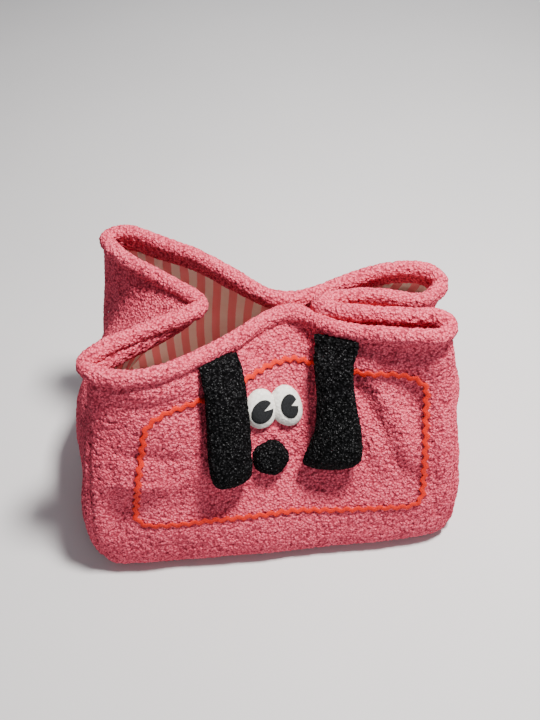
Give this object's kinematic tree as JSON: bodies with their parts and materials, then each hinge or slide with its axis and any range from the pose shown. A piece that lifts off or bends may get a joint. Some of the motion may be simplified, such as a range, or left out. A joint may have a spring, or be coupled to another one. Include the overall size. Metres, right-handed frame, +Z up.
{
  "type": "plush tote bag",
  "caption": "Soft sherpa storage tote with folded side gussets, striped lining, wavy trim and a stuffed dog face with long hanging ears.",
  "frame": {"origin": "middle of the flat underside, on the surface the bag stands on", "axes": "+X along the width to the right seen from the face side, -Y towards the face side, +Z up"},
  "size_m": [0.4868, 0.3383, 0.2885],
  "materials": {
    "sherpa": "curly pile",
    "curly_black": "curly pile",
    "striped_cotton": "plain weave with upright stripes",
    "trim": "braided",
    "felt_white": "short pile",
    "felt_charcoal": "felt",
    "padding": "matte",
    "board": "matte",
    "snap_metal": "satin"
  },
  "bodies": {
    "bag_shell": {"sherpa_base": "sherpa", "base_board": "board", "lining_base": "striped_cotton", "sherpa_right_gusset_front": "sherpa", "foam_right_gusset_front": "padding", "lining_right_gusset_front": "striped_cotton", "facing_right_gusset_front": "sherpa", "rim_roll_right_gusset_front": "sherpa", "sherpa_right_gusset_back": "sherpa", "foam_right_gusset_back": "padding", "lining_right_gusset_back": "striped_cotton", "facing_right_gusset_back": "sherpa", "rim_roll_right_gusset_back": "sherpa", "sherpa_left_gusset_back": "sherpa", "foam_left_gusset_back": "padding", "lining_left_gusset_back": "striped_cotton", "facing_left_gusset_back": "sherpa", "rim_roll_left_gusset_back": "sherpa", "sherpa_left_gusset_front": "sherpa", "foam_left_gusset_front": "padding", "lining_left_gusset_front": "striped_cotton", "facing_left_gusset_front": "sherpa", "rim_roll_left_gusset_front": "sherpa"},
    "front_wall": {"sherpa_front": "sherpa", "foam_front": "padding", "lining_front": "striped_cotton", "facing_front": "sherpa", "rim_roll_front": "sherpa", "wavy_trim": "trim", "eye_cover": "felt_white", "eye_stuffing": "padding", "left_pupil": "felt_charcoal", "right_pupil": "felt_charcoal", "nose_cover": "curly_black", "nose_stuffing": "padding", "snap_magnet": "snap_metal"},
    "back_wall": {"sherpa_back": "sherpa", "foam_back": "padding", "lining_back": "striped_cotton", "facing_back": "sherpa", "rim_roll_back": "sherpa", "snap_plate": "snap_metal"},
    "left_ear": {"left_ear_cover": "curly_black", "left_ear_stuffing": "padding"},
    "right_ear": {"right_ear_cover": "curly_black", "right_ear_stuffing": "padding"}
  },
  "joints": [
    {"name": "front_wall_hinge", "type": "hinge", "parent": "bag_shell", "child": "front_wall", "pos_m": [0, -0.1655, 0.0004], "axis": [1, 0, 0], "range_deg": [0, 12]},
    {"name": "back_wall_hinge", "type": "hinge", "parent": "bag_shell", "child": "back_wall", "pos_m": [0, 0.1615, 0.0004], "axis": [-1, 0, 0], "range_deg": [0, 12]},
    {"name": "left_ear_hinge", "type": "hinge", "parent": "front_wall", "child": "left_ear", "pos_m": [-0.04782, -0.07414, 0.23978], "axis": [-0.8313, -0.5317, 0.162], "range_deg": [0, 100]},
    {"name": "right_ear_hinge", "type": "hinge", "parent": "front_wall", "child": "right_ear", "pos_m": [0.08398, -0.05736, 0.24215], "axis": [-0.856, 0.4882, -0.1702], "range_deg": [0, 100]}
  ]
}
